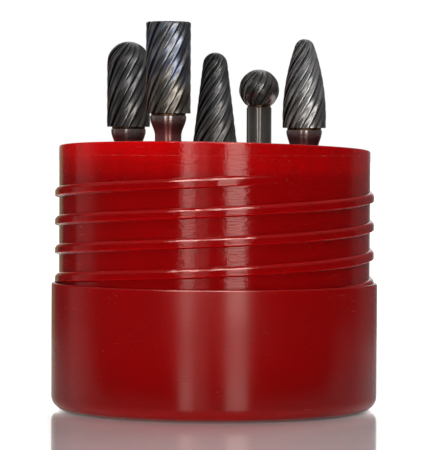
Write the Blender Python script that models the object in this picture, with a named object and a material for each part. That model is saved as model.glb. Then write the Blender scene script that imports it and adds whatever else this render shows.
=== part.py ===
"""Five carbide rotary burrs standing in the open base of a round screw-top case.

Sizes are millimetres times MM, so every value is in metres. +Z is up and the origin is the
middle of the foot. Azimuths run from the front (-Y) towards the right (+X).
"""

import math
from typing import NamedTuple

import bmesh
import bpy

MM = 0.001
TURN = math.tau

# Facets round each kind of piece
CASE_SEGMENTS = 60
SOCKET_SEGMENTS = 20
SHANK_SEGMENTS = 20
FILLET_STEPS = 5
ARC_STEP = math.radians(16.0)
ROW_STEP = 1.9 * MM
SHARP_ANGLE = math.radians(35.0)

# Fits
SEAT_GAP = 0.3 * MM
SHANK_CLEARANCE = 0.3 * MM
BRAZE_GAP = 0.1 * MM

# Case base
NECK_DIAMETER = 72.5 * MM
NECK_WALL = 2.1 * MM
NECK_HEIGHT = 31.2 * MM
SHOULDER_WIDTH = 1.75 * MM
SHOULDER_HEIGHT = 29.45 * MM
SHOULDER_EDGE = 0.35 * MM
FLOOR_THICKNESS = 2.6 * MM
FOOT_ROUND_RADIUS = 3.1 * MM
FOOT_RING_WIDTH = 4.3 * MM
FOOT_RECESS_DEPTH = 0.7 * MM
RIM_EDGE = 0.35 * MM
RIM_SLOPE_BACK = math.tan(math.radians(2.4))
RIM_SLOPE_RIGHT = math.tan(math.radians(0.85))

# Two-start thread on the neck, which leans to the right a little as the rim does
THREAD_STARTS = 2
THREAD_PITCH = 6.66 * MM
THREAD_HEIGHT = 0.95 * MM
THREAD_ROOT_WIDTH = 2.3 * MM
THREAD_CREST_WIDTH = 1.6 * MM
THREAD_SINK = 0.6 * MM
THREAD_TOP_BELOW_RIM = 6.65 * MM
THREAD_TOP_STEP = 4
THREAD_FADE_STEPS = 4
THREAD_LEAN_RIGHT = math.tan(math.radians(0.54))

# Burr holder
HOLDER_RECESS = 7.5 * MM
HOLDER_DECK = 2.3 * MM
HOLDER_WALL = 1.6 * MM
HOLDER_EDGE = 0.5 * MM
SOCKET_WALL = 1.5 * MM
SOCKET_FLOOR = 1.5 * MM
SOCKET_MOUTH = 0.6 * MM
SOCKET_RING_INSET = 11.1 * MM
SOCKET_RING_AZIMUTH = math.radians(-27.3)

# Burr shanks
SHANK_DIAMETER = 6.0 * MM
SHANK_LENGTH = 45.0 * MM
SHANK_CHAMFER = 0.5 * MM
COLLAR_STEP = 1.1 * MM
COLLAR_HEIGHT = 1.4 * MM
NECK_FILLET_HEIGHT = 4.6 * MM
BRAZE_THICKNESS = 0.3 * MM
BRAZE_INSET = 0.15 * MM

# Burr heads: every base height is measured up from the holder's deck
CYLINDER_DIAMETER = 10.15 * MM
CYLINDER_LENGTH = 20.65 * MM
CYLINDER_CHAMFER = 0.25 * MM
CYLINDER_BASE = 15.4 * MM
BALL_NOSE_DIAMETER = 10.2 * MM
BALL_NOSE_LENGTH = 20.15 * MM
BALL_NOSE_BASE = 12.55 * MM
TAPER_TIP_RADIUS = 2.88 * MM
TAPER_LENGTH = 21.0 * MM
TAPER_HALF_ANGLE = math.radians(7.0)
TAPER_BASE = 8.85 * MM
BALL_DIAMETER = 9.65 * MM
BALL_BASE = 17.9 * MM
TREE_DIAMETER = 10.0 * MM
TREE_LENGTH = 20.4 * MM
TREE_TIP_RADIUS = 2.3 * MM
TREE_WAIST = 2.2 * MM
TREE_BASE = 12.3 * MM

# Flutes: shares of one flute's pitch, left to right, with their shares of the depth
FLUTE_DEPTH = 0.42 * MM
BALL_FLUTE_DEPTH = 0.25 * MM
FLUTE_DEPTH_LIMIT = 0.16
TOOTH_FORM = ((0.0, 1.0), (0.48, 0.32), (0.9, 0.0))
TWIST_RADIUS = 2.1 * MM

# Sizes that follow from those above
NECK_RADIUS = NECK_DIAMETER / 2
BORE_RADIUS = NECK_RADIUS - NECK_WALL
SKIRT_RADIUS = NECK_RADIUS + SHOULDER_WIDTH
RIM_HEIGHT = SHOULDER_HEIGHT + NECK_HEIGHT
DECK_HEIGHT = RIM_HEIGHT - HOLDER_RECESS
SHANK_RADIUS = SHANK_DIAMETER / 2
COLLAR_RADIUS = SHANK_RADIUS + COLLAR_STEP
SOCKET_RADIUS = SHANK_RADIUS + SHANK_CLEARANCE
SOCKET_RING_RADIUS = BORE_RADIUS - SOCKET_RING_INSET


class Burr(NamedTuple):
    """One burr: its outline starts at the base of the head and its socket is an (x, y) place."""

    name: str
    outline: list
    socket: tuple
    base: float
    has_collar: bool
    flutes: int
    helix_degrees: float
    gullet_degrees: float
    flute_depth: float = FLUTE_DEPTH


def polar(radius, azimuth, height):
    """Point at an azimuth from the front towards the right."""
    return (radius * math.sin(azimuth), -radius * math.cos(azimuth), height)


def bridge(mesh, lower, upper):
    """Faces between two rings, either of which may be a single point."""
    for step in range(max(len(lower), len(upper))):
        corners = (
            lower[step % len(lower)],
            lower[(step + 1) % len(lower)],
            upper[(step + 1) % len(upper)],
            upper[step % len(upper)],
        )
        mesh.faces.new(dict.fromkeys(corners))


def lathe(mesh, profile, segments, centre=(0.0, 0.0)):
    """Turned body whose (radius, height) profile starts and ends on the axis, outside first."""
    rings = []
    for radius, height in profile:
        ring = []
        for step in range(segments if radius > 0 else 1):
            x, y, z = polar(radius, step * TURN / segments, height)
            ring.append(mesh.verts.new((centre[0] + x, centre[1] + y, z)))
        rings.append(ring)
    for lower, upper in zip(rings, rings[1:]):
        bridge(mesh, lower, upper)


def arc(centre, radius, start, end, steps=None):
    """Points of an arc in the (radius, height) plane, both ends included."""
    steps = steps or max(2, math.ceil(abs(end - start) / ARC_STEP))
    points = []
    for step in range(steps + 1):
        angle = start + (end - start) * step / steps
        points.append((centre[0] + radius * math.cos(angle), centre[1] + radius * math.sin(angle)))
    return points


def rows(start, end):
    """Points of a straight stretch, close enough together for the flutes to twist."""
    steps = max(1, math.ceil(math.dist(start, end) / ROW_STEP))
    points = []
    for step in range(steps + 1):
        share = step / steps
        points.append(tuple(a + (b - a) * share for a, b in zip(start, end)))
    return points


def material(name, colour, roughness, metallic):
    """Principled material of one finish."""
    finish = bpy.data.materials.new(name)
    finish.use_nodes = True
    shader = finish.node_tree.nodes["Principled BSDF"]
    shader.inputs["Base Color"].default_value = (*colour, 1.0)
    shader.inputs["Roughness"].default_value = roughness
    shader.inputs["Metallic"].default_value = metallic
    finish.diffuse_color = (*colour, 1.0)
    return finish


def add_object(name, mesh, finish, parent=None):
    """Object made from a bmesh, shaded smooth except at its real edges."""
    data = bpy.data.meshes.new(name)
    mesh.to_mesh(data)
    mesh.free()
    if finish:
        data.materials.append(finish)
    data.shade_smooth()
    data.set_sharp_from_angle(angle=SHARP_ANGLE)
    piece = bpy.data.objects.new(name, data)
    bpy.context.scene.collection.objects.link(piece)
    piece.parent = parent
    return piece


def combine(piece, tool, operation):
    """Boolean modifier with a tool that is itself left out of the model."""
    tool.hide_render = True
    tool.display_type = "WIRE"
    modifier = piece.modifiers.new(tool.name, "BOOLEAN")
    modifier.operation = operation
    modifier.object = tool


def case_profile():
    """Half section of the case base without its thread, with a level rim."""
    foot_radius = SKIRT_RADIUS - FOOT_ROUND_RADIUS
    recess_radius = foot_radius - FOOT_RING_WIDTH
    return [
        (0.0, FOOT_RECESS_DEPTH),
        (recess_radius, FOOT_RECESS_DEPTH),
        (recess_radius, 0.0),
        *arc((foot_radius, FOOT_ROUND_RADIUS), FOOT_ROUND_RADIUS, -math.pi / 2, 0.0),
        (SKIRT_RADIUS, SHOULDER_HEIGHT - SHOULDER_EDGE),
        (SKIRT_RADIUS - SHOULDER_EDGE, SHOULDER_HEIGHT),
        (NECK_RADIUS, SHOULDER_HEIGHT),
        (NECK_RADIUS, RIM_HEIGHT - RIM_EDGE),
        (NECK_RADIUS - RIM_EDGE, RIM_HEIGHT),
        (BORE_RADIUS, RIM_HEIGHT),
        (BORE_RADIUS, FLOOR_THICKNESS),
        (0.0, FLOOR_THICKNESS),
    ]


def slant_rim(mesh):
    """Tilts the level rim into its plane: high at the front and the left."""
    for vert in mesh.verts:
        if vert.co.z > RIM_HEIGHT - 1.5 * RIM_EDGE:
            vert.co.z -= RIM_SLOPE_BACK * vert.co.y + RIM_SLOPE_RIGHT * vert.co.x


def thread_ridge(mesh, first_step):
    """One start of the thread, from its faded top end down into the shoulder."""
    lead = THREAD_PITCH * THREAD_STARTS
    lean = THREAD_LEAN_RIGHT * NECK_RADIUS
    root = THREAD_ROOT_WIDTH / 2
    crest = THREAD_CREST_WIDTH / 2
    top = RIM_HEIGHT - THREAD_TOP_BELOW_RIM
    fall = lead / CASE_SEGMENTS
    steps = math.ceil((top - SHOULDER_HEIGHT + root + lean + SHOULDER_EDGE) / fall)
    rings = []
    for step in range(steps + 1):
        azimuth = (first_step - step) * TURN / CASE_SEGMENTS
        middle = top - step * fall - lean * math.sin(azimuth)
        rise = min(1.0, step / THREAD_FADE_STEPS)
        outer = NECK_RADIUS + THREAD_HEIGHT * rise - THREAD_SINK / 2 * (1.0 - rise)
        inner = NECK_RADIUS - THREAD_SINK
        section = ((inner, -root), (outer, -crest), (outer, crest), (inner, root))
        rings.append([mesh.verts.new(polar(r, azimuth, middle + z)) for r, z in section])
    for upper, lower in zip(rings, rings[1:]):
        bridge(mesh, upper, lower)
    mesh.faces.new(reversed(rings[0]))
    mesh.faces.new(rings[-1])


def build_case_base(plastic):
    """Threaded cup with a closed bottom, an outside shoulder and a slanted rim."""
    body = bmesh.new()
    lathe(body, case_profile(), CASE_SEGMENTS)
    slant_rim(body)
    base = add_object("case_base", body, plastic)
    ridges = bmesh.new()
    for start in range(THREAD_STARTS):
        thread_ridge(ridges, THREAD_TOP_STEP + start * CASE_SEGMENTS // THREAD_STARTS)
    bmesh.ops.recalc_face_normals(ridges, faces=ridges.faces)
    combine(base, add_object("thread_ridges", ridges, None), "UNION")


def build_burr_holder(plastic, sockets):
    """Inverted cup that stands in the case, with a blind socket for every shank."""
    radius = BORE_RADIUS - SEAT_GAP
    foot = FLOOR_THICKNESS + SEAT_GAP
    inner = radius - HOLDER_WALL
    ceiling = DECK_HEIGHT - HOLDER_DECK
    body = bmesh.new()
    lathe(body, [
        (0.0, ceiling),
        (inner, ceiling),
        (inner, foot),
        (radius, foot),
        (radius, DECK_HEIGHT - HOLDER_EDGE),
        (radius - HOLDER_EDGE, DECK_HEIGHT),
        (0.0, DECK_HEIGHT),
    ], CASE_SEGMENTS)
    holder = add_object("burr_holder", body, plastic)
    tubes = bmesh.new()
    bores = bmesh.new()
    mouth = SOCKET_RADIUS + SOCKET_MOUTH
    for x, y, floor in sockets:
        lathe(tubes, [
            (0.0, floor - SOCKET_FLOOR),
            (SOCKET_RADIUS + SOCKET_WALL, floor - SOCKET_FLOOR),
            (SOCKET_RADIUS + SOCKET_WALL, DECK_HEIGHT - HOLDER_DECK / 2),
            (0.0, DECK_HEIGHT - HOLDER_DECK / 2),
        ], SOCKET_SEGMENTS, (x, y))
        lathe(bores, [
            (0.0, floor),
            (SOCKET_RADIUS, floor),
            (SOCKET_RADIUS, DECK_HEIGHT - SOCKET_MOUTH),
            (mouth, DECK_HEIGHT),
            (mouth, DECK_HEIGHT + SOCKET_MOUTH),
            (0.0, DECK_HEIGHT + SOCKET_MOUTH),
        ], SOCKET_SEGMENTS, (x, y))
    combine(holder, add_object("socket_tubes", tubes, None), "UNION")
    combine(holder, add_object("socket_bores", bores, None), "DIFFERENCE")


def cylinder_outline():
    """Plain cylinder with a broken top edge."""
    radius = CYLINDER_DIAMETER / 2
    side = rows((radius, 0.0), (radius, CYLINDER_LENGTH - CYLINDER_CHAMFER))
    return [*side, (radius - CYLINDER_CHAMFER, CYLINDER_LENGTH), (0.0, CYLINDER_LENGTH)]


def ball_nose_outline():
    """Cylinder that ends in a half ball."""
    radius = BALL_NOSE_DIAMETER / 2
    equator = BALL_NOSE_LENGTH - radius
    dome = arc((0.0, equator), radius, 0.0, math.pi / 2)
    return [*rows((radius, 0.0), (radius, equator)), *dome[1:-1], (0.0, BALL_NOSE_LENGTH)]


def taper_outline():
    """Cone that widens downwards from a tip ball, tangent to it."""
    equator = TAPER_LENGTH - TAPER_TIP_RADIUS
    dome = arc((0.0, equator), TAPER_TIP_RADIUS, TAPER_HALF_ANGLE, math.pi / 2)
    tangent_radius, tangent_height = dome[0]
    base = (tangent_radius + tangent_height * math.tan(TAPER_HALF_ANGLE), 0.0)
    return [*rows(base, dome[0]), *dome[1:-1], (0.0, TAPER_LENGTH)]


def ball_outline():
    """Ball cut off flat where it is brazed to the shank."""
    radius = BALL_DIAMETER / 2
    start = -math.acos(SHANK_RADIUS / radius)
    centre = -radius * math.sin(start)
    return [*arc((0.0, centre), radius, start, math.pi / 2)[:-1], (0.0, centre + radius)]


def tree_outline():
    """Ogive, widest at its waist, that runs tangent into a tip ball."""
    radius = TREE_DIAMETER / 2
    tip = TREE_TIP_RADIUS
    reach = TREE_LENGTH - TREE_WAIST
    sweep = (radius**2 + reach**2 - 2 * tip * reach) / (2 * (radius - tip))
    centre = (radius - sweep, TREE_WAIST)
    foot = -math.asin(TREE_WAIST / sweep)
    tangent = math.atan2(reach - tip, sweep - radius)
    side = arc(centre, sweep, foot, tangent, math.ceil(TREE_LENGTH / ROW_STEP))
    dome = arc((0.0, TREE_LENGTH - tip), tip, tangent, math.pi / 2)
    return [*side, *dome[1:-1], (0.0, TREE_LENGTH)]


def tooth_ring(mesh, burr, radius, height, twist):
    """One level of the saw-shaped flutes, or the single point of a pole."""
    if radius <= 0:
        return [mesh.verts.new((0.0, 0.0, height))]
    depth = min(burr.flute_depth, FLUTE_DEPTH_LIMIT * radius)
    ring = []
    for flute in range(burr.flutes):
        for share, drop in TOOTH_FORM:
            azimuth = twist + (flute + share) * TURN / burr.flutes
            ring.append(mesh.verts.new(polar(radius - depth * drop, azimuth, height)))
    return ring


def build_head(burr, carbide, parent):
    """Carbide head with right-hand helical flutes that follow its outline."""
    mesh = bmesh.new()
    rings = [[mesh.verts.new((0.0, 0.0, 0.0))]]
    slope = math.tan(math.radians(burr.helix_degrees))
    twist = math.radians(burr.gullet_degrees)
    below = 0.0
    for radius, height in burr.outline:
        twist += slope * (height - below) / max(radius, TWIST_RADIUS)
        below = height
        rings.append(tooth_ring(mesh, burr, radius, height, twist))
    for lower, upper in zip(rings, rings[1:]):
        bridge(mesh, lower, upper)
    head = add_object(burr.name + "_head", mesh, carbide, parent)
    head.location.z = SHANK_LENGTH


def shank_profile(has_collar):
    """Half section of a shank, from its chamfered end to the face that is brazed."""
    top = SHANK_LENGTH - BRAZE_THICKNESS - 2 * BRAZE_GAP
    profile = [(0.0, 0.0), (SHANK_RADIUS - SHANK_CHAMFER, 0.0), (SHANK_RADIUS, SHANK_CHAMFER)]
    if not has_collar:
        return [*profile, (SHANK_RADIUS, top), (0.0, top)]
    collar_foot = top - COLLAR_HEIGHT
    sweep = (NECK_FILLET_HEIGHT**2 + COLLAR_STEP**2) / (2 * COLLAR_STEP)
    centre = (SHANK_RADIUS + sweep, collar_foot - NECK_FILLET_HEIGHT)
    fillet_end = math.pi - math.asin(NECK_FILLET_HEIGHT / sweep)
    neck = arc(centre, sweep, math.pi, fillet_end, FILLET_STEPS)
    return [*profile, *neck, (COLLAR_RADIUS, top), (0.0, top)]


def build_shank(burr, steel, parent):
    """Ground steel shank."""
    mesh = bmesh.new()
    lathe(mesh, shank_profile(burr.has_collar), SHANK_SEGMENTS)
    add_object(burr.name + "_shank", mesh, steel, parent)


def build_braze(burr, filler, parent):
    """Thin layer of filler metal between the head and the shank."""
    radius = (COLLAR_RADIUS if burr.has_collar else SHANK_RADIUS) - BRAZE_INSET
    top = SHANK_LENGTH - BRAZE_GAP
    mesh = bmesh.new()
    lathe(mesh, [
        (0.0, top - BRAZE_THICKNESS),
        (radius, top - BRAZE_THICKNESS),
        (radius, top),
        (0.0, top),
    ], SHANK_SEGMENTS)
    add_object(burr.name + "_braze", mesh, filler, parent)


def ring_socket(quarter):
    """Place of one of the four outer sockets."""
    azimuth = SOCKET_RING_AZIMUTH + quarter * TURN / 4
    return polar(SOCKET_RING_RADIUS, azimuth, 0.0)[:2]


def burr_set():
    """Four burrs round the ring, from the front left towards the right, and one in the middle."""
    return (
        Burr("cylinder_burr", cylinder_outline(), ring_socket(0), CYLINDER_BASE, True, 18, 31.0, -6.3),
        Burr("tree_burr", tree_outline(), ring_socket(1), TREE_BASE, True, 18, 31.0, -10.0),
        Burr("ball_burr", ball_outline(), ring_socket(2), BALL_BASE, False, 16, 30.0, 0.0,
             BALL_FLUTE_DEPTH),
        Burr("ball_nose_burr", ball_nose_outline(), ring_socket(3), BALL_NOSE_BASE, True, 18, 30.0, 3.5),
        Burr("taper_burr", taper_outline(), (0.0, 0.0), TAPER_BASE, True, 16, 35.0, -2.4),
    )


def main():
    for leftover in list(bpy.data.objects):
        bpy.data.objects.remove(leftover)

    red = material("red_case_plastic", (0.36, 0.004, 0.006), 0.28, 0.0)
    insert = material("black_holder_plastic", (0.02, 0.02, 0.021), 0.45, 0.0)
    carbide = material("ground_carbide", (0.10, 0.10, 0.105), 0.32, 1.0)
    filler = material("braze_filler", (0.45, 0.33, 0.20), 0.4, 1.0)
    steel = material("ground_steel", (0.42, 0.41, 0.40), 0.25, 1.0)

    sockets = []
    for burr in burr_set():
        foot = DECK_HEIGHT + burr.base - SHANK_LENGTH
        axis = bpy.data.objects.new(burr.name, None)
        axis.location = (*burr.socket, foot)
        bpy.context.scene.collection.objects.link(axis)
        build_head(burr, carbide, axis)
        build_braze(burr, filler, axis)
        build_shank(burr, steel, axis)
        sockets.append((*burr.socket, foot - SEAT_GAP))

    build_case_base(red)
    build_burr_holder(insert, sockets)


main()
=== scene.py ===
import math
from collections import namedtuple

import bmesh
import bpy
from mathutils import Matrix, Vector


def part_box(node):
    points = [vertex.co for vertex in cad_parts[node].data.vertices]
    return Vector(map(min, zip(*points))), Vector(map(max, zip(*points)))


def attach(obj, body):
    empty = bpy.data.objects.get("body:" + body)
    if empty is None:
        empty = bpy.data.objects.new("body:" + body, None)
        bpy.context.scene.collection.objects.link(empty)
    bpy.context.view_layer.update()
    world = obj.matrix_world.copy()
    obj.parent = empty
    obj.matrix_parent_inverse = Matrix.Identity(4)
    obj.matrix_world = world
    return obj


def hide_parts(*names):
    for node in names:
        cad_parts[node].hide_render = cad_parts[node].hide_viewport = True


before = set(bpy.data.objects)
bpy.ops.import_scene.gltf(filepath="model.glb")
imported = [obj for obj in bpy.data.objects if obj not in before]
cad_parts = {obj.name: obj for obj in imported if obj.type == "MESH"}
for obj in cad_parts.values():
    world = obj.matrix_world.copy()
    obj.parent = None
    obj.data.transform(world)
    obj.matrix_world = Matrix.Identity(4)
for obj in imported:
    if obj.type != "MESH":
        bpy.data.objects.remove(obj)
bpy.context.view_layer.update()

MM = 0.001
TURN = math.tau
QUARTER = math.pi / 2

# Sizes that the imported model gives
SKIRT_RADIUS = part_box("case_base")[1].x
DECK_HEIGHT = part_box("burr_holder")[1].z

# Case sizes that repeat the part's source
NECK_RADIUS = SKIRT_RADIUS - 1.75 * MM
BORE_RADIUS = NECK_RADIUS - 2.1 * MM
SHOULDER_HEIGHT = 29.45 * MM
RIM_HEIGHT = 60.65 * MM
FLOOR_THICKNESS = 2.6 * MM
FOOT_ROUND_RADIUS = 3.1 * MM
FOOT_RING_WIDTH = 4.3 * MM
FOOT_RECESS_DEPTH = 0.7 * MM
RIM_SLOPE_BACK = math.tan(math.radians(2.4))
RIM_SLOPE_RIGHT = math.tan(math.radians(0.85))
THREAD_STARTS = 2
THREAD_PITCH = 6.66 * MM
THREAD_HEIGHT = 0.95 * MM
THREAD_TOP = RIM_HEIGHT - 6.65 * MM
THREAD_TOP_AZIMUTH = math.radians(24.0)
THREAD_FADE = math.radians(24.0)
THREAD_LEAN = NECK_RADIUS * math.tan(math.radians(0.54))

# Lower edge of a ridge: how far below its middle it begins and reaches its full rise
THREAD_ROOT_HALF = 1.12 * MM
THREAD_CREST_HALF = 0.72 * MM

# Upper edge of a ridge, bevelled and rounded: height above its middle in mm, share of its rise
THREAD_UPPER_EDGE = (
    (0.5, 1.0),
    (0.56, 0.985),
    (0.62, 0.957),
    (0.84, 0.845),
    (0.95, 0.77),
    (1.06, 0.68),
    (1.17, 0.565),
    (1.27, 0.42),
    (1.35, 0.24),
    (1.4, 0.0),
)

# Painted highlights on the edges (above 0) and painted shade under the roots (below 0) of a ridge, by the
# height above its middle in mm
THREAD_HIGHLIGHTS_AND_SHADE = (
    (-3.33, 0.0),
    (-2.5, -0.25),
    (-1.8, -0.6),
    (-1.25, -0.85),
    (-1.12, 0.3),
    (-1.0, 1.0),
    (-0.72, 1.0),
    (-0.5, 0.1),
    (0.25, 0.0),
    (0.84, 0.1),
    (0.95, 0.3),
    (1.06, 0.75),
    (1.27, 0.85),
    (1.35, 0.3),
    (1.4, -0.3),
    (1.8, 0.0),
    (3.33, 0.0),
)

# Heights of the neck's other rows of points, from the middle of a ridge
THREAD_ROWS_BELOW = (-THREAD_PITCH / 2, -2.5 * MM, -1.8 * MM, -1.25 * MM)
THREAD_ROWS_ON_CREST = (-0.5 * MM, 0.25 * MM)
THREAD_ROWS_ABOVE = (1.6 * MM, 2.0 * MM, 2.5 * MM, THREAD_PITCH / 2)
THREAD_FLANK_STEPS = 7
RIDGES_ABOVE_FIRST = 4

# Rounded edge of the shoulder: inset from the skirt and drop below the shoulder, both in mm
SHOULDER_EDGE = (
    (0.42, 0.0),
    (0.28, 0.04),
    (0.18, 0.11),
    (0.12, 0.2),
    (0.05, 0.33),
    (0.015, 0.42),
    (0.0, 0.52),
)

# Other details that only the dressed case has
RIM_ROUND = 0.4 * MM
RIM_STEPS = 6
CORNER_ROUND = 0.3 * MM
FOOT_STEPS = 16
SKIRT_ROWS = (20.0 * MM, 11.0 * MM)
LEVEL_ROW = DECK_HEIGHT + 2.0 * MM
BELOW_DECK_ROW = DECK_HEIGHT - 4.0 * MM
CASE_COLUMNS = 288
MERGE_DISTANCE = 0.002 * MM

# Burr sizes that repeat the part's source
SHANK_RADIUS = 3.0 * MM
SHANK_LENGTH = 45.0 * MM
SHANK_CHAMFER = 0.5 * MM
COLLAR_RADIUS = 4.1 * MM
BRAZE_THICKNESS = 0.3 * MM
BRAZE_INSET = 0.15 * MM
BRAZE_GAP = 0.1 * MM
CYLINDER_RADIUS = 5.075 * MM
CYLINDER_LENGTH = 20.65 * MM
TREE_RADIUS = 5.0 * MM
TREE_LENGTH = 20.4 * MM
TREE_TIP_RADIUS = 2.3 * MM
TREE_WAIST_HEIGHT = 2.2 * MM
BALL_RADIUS = 4.825 * MM
BALL_LENGTH = 8.604 * MM
BALL_NOSE_RADIUS = 5.1 * MM
BALL_NOSE_LENGTH = 20.15 * MM
TAPER_TIP_RADIUS = 2.88 * MM
TAPER_LENGTH = 21.0 * MM
TAPER_HALF_ANGLE = math.radians(7.0)
FLUTE_DEPTH = 0.42 * MM
BALL_FLUTE_DEPTH = 0.25 * MM
FLUTE_DEPTH_LIMIT = 0.16
TWIST_RADIUS = 2.1 * MM

# Details of the dressed burrs, where they differ from the part's source
CYLINDER_CHAMFER = 0.3 * MM
COLLAR_ROUND = 0.15 * MM
COLLAR_STEPS = 4
NECK_STEPS = 28
BRAZE_STEPS = 8
FLAT_END_RADIUS = 0.3 * MM
GULLET_SHARES = (1.15, 0.5)
WALL_START = 0.93
TURNED_COLUMNS = 64
ROW_STEP = 0.26 * MM

# Arcs of rounded ends, in radians, that set how many rows they get
TIP_ARC = 1.5
BALL_ARC = 2.6

# Waves round the edge of the braze: share of its radius, number, phase
BRAZE_WAVES = ((0.006, 5, 0.0), (0.005, 11, 1.0))

# Angles between faces, in degrees, above which an edge is drawn sharp
CASE_SHARP = 35.0
HEAD_SHARP = 40.0
SHANK_SHARP = 30.0
BRAZE_SHARP = 35.0

# helix and gullet are in degrees, and neck gives the depths where the collar begins and ends to curve in
Burr = namedtuple("Burr", "name outline depth flutes helix gullet carbide neck")

# One flute from gullet to gullet: share of its pitch, share of its depth
TOOTH_FORM = (
    (0.0, 0.86),
    (0.1, 1.0),
    (0.24, 0.93),
    (0.4, 0.74),
    (0.56, 0.47),
    (0.7, 0.2),
    (0.8, 0.05),
    (0.88, 0.0),
    (0.925, 0.0),
    (0.96, 0.4),
)


def polar(radius, azimuth, height):
    """Point at an azimuth from the front towards the right."""
    return (radius * math.sin(azimuth), -radius * math.cos(azimuth), height)


def smooth(share):
    """Eased step from 0 to 1."""
    share = min(1.0, max(0.0, share))
    return share * share * (3.0 - 2.0 * share)


def arc(centre, radius, start, end, steps):
    """Points of an arc in the (radius, height) plane, both ends included."""
    points = []
    for step in range(steps + 1):
        angle = start + (end - start) * step / steps
        points.append((centre[0] + radius * math.cos(angle), centre[1] + radius * math.sin(angle)))
    return points


def rows(start, end):
    """Points of a straight stretch, close enough together for the flutes to twist."""
    steps = max(1, math.ceil(math.dist(start, end) / ROW_STEP))
    points = []
    for step in range(steps + 1):
        share = step / steps
        points.append(tuple(a + (b - a) * share for a, b in zip(start, end)))
    return points


def bridge(mesh, lower, upper):
    """Faces between two rings, either of which may be a single point."""
    for step in range(max(len(lower), len(upper))):
        corners = (
            lower[step % len(lower)],
            lower[(step + 1) % len(lower)],
            upper[(step + 1) % len(upper)],
            upper[step % len(upper)],
        )
        mesh.faces.new(dict.fromkeys(corners))


def lathe(mesh, profile, columns):
    """Turned body whose (radius, height) profile starts and ends on the axis, outside first."""
    rings = []
    for radius, height in profile:
        ring = []
        for step in range(columns if radius > 0 else 1):
            ring.append(mesh.verts.new(polar(radius, step * TURN / columns, height)))
        rings.append(ring)
    for lower, upper in zip(rings, rings[1:]):
        bridge(mesh, lower, upper)


def add_piece(name, mesh, finish, body, node, sharp, place=(0.0, 0.0, 0.0)):
    """Piece made from a bmesh that stands for one node and rides on its body."""
    data = bpy.data.meshes.new(name)
    mesh.to_mesh(data)
    mesh.free()
    data.materials.append(finish)
    data.shade_smooth()
    data.set_sharp_from_angle(angle=math.radians(sharp))
    piece = bpy.data.objects.new(name, data)
    piece.location = place
    bpy.context.scene.collection.objects.link(piece)
    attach(piece, body)
    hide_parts(node)


# Case

def ridge_middle(azimuth):
    """Height of the first ridge, on a thread that leans to the right a little."""
    climb = THREAD_PITCH * THREAD_STARTS * (azimuth - THREAD_TOP_AZIMUTH) / TURN
    return THREAD_TOP + climb - THREAD_LEAN * math.sin(azimuth)


def between(points, place):
    """Value at a place on a broken line through (place, value) points."""
    if place <= points[0][0]:
        return points[0][1]
    for (low, start), (high, end) in zip(points, points[1:]):
        if place <= high:
            return start + (end - start) * (place - low) / (high - low)
    return points[-1][1]


def ridge_form(azimuth, height):
    """How far the thread stands above the neck at a place on it, and how much painted highlight or shade it
    has there.
    """
    middle = ridge_middle(azimuth)
    ridge = round((height - middle) / THREAD_PITCH)
    offset = height - middle - ridge * THREAD_PITCH
    run = THREAD_TOP_AZIMUTH - azimuth - ridge * TURN / THREAD_STARTS
    lower = smooth((THREAD_ROOT_HALF + offset) / (THREAD_ROOT_HALF - THREAD_CREST_HALF))
    flank = min(lower, between(THREAD_UPPER_EDGE, offset / MM))
    shown = min(1.0, max(0.0, run / THREAD_FADE))
    return THREAD_HEIGHT * max(0.0, flank + shown - 1.0), shown * between(THREAD_HIGHLIGHTS_AND_SHADE, offset / MM)


def rim_shift(azimuth, radius):
    """How far the slanted rim stands above or below its mean height."""
    x, y, _ = polar(radius, azimuth, 0.0)
    return -RIM_SLOPE_BACK * y - RIM_SLOPE_RIGHT * x


def thread_offsets():
    """Heights across one pitch of the thread, close together on the flanks."""
    flank = THREAD_ROOT_HALF - THREAD_CREST_HALF
    lower = [flank * step / THREAD_FLANK_STEPS - THREAD_ROOT_HALF for step in range(THREAD_FLANK_STEPS + 1)]
    upper = [offset * MM for offset, _ in THREAD_UPPER_EDGE]
    return [*THREAD_ROWS_BELOW, *lower, *THREAD_ROWS_ON_CREST, *upper, *THREAD_ROWS_ABOVE]


def threaded_neck(mesh):
    """Outside of the neck on a grid that climbs with the thread, cut off at shoulder and rim."""
    lead = THREAD_PITCH * THREAD_STARTS
    offsets = thread_offsets()
    # Painted highlight and shade of the thread, kept with each point
    ridge_light_and_shade = mesh.verts.layers.float.new("ridge_light_and_shade")
    lowest = math.floor((SHOULDER_HEIGHT - THREAD_TOP - lead) / THREAD_PITCH)
    columns = []
    for step in range(CASE_COLUMNS):
        azimuth = step * TURN / CASE_COLUMNS
        middle = ridge_middle(azimuth)
        top = RIM_HEIGHT - RIM_ROUND + rim_shift(azimuth, NECK_RADIUS)
        column = []
        for ridge in range(lowest, RIDGES_ABOVE_FIRST + 1):
            for offset in offsets:
                height = min(top, max(SHOULDER_HEIGHT, middle + ridge * THREAD_PITCH + offset))
                rise, painted_light_and_shade = ridge_form(azimuth, height)
                vert = mesh.verts.new(polar(NECK_RADIUS + rise, azimuth, height))
                vert[ridge_light_and_shade] = painted_light_and_shade
                column.append(vert)
        columns.append(column)
    climb = THREAD_STARTS * len(offsets)
    for step, column in enumerate(columns):
        last = step == CASE_COLUMNS - 1
        after = columns[0][climb:] if last else columns[step + 1]
        for low in range(min(len(column), len(after)) - 1):
            mesh.faces.new((column[low], after[low], after[low + 1], column[low + 1]))


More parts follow.
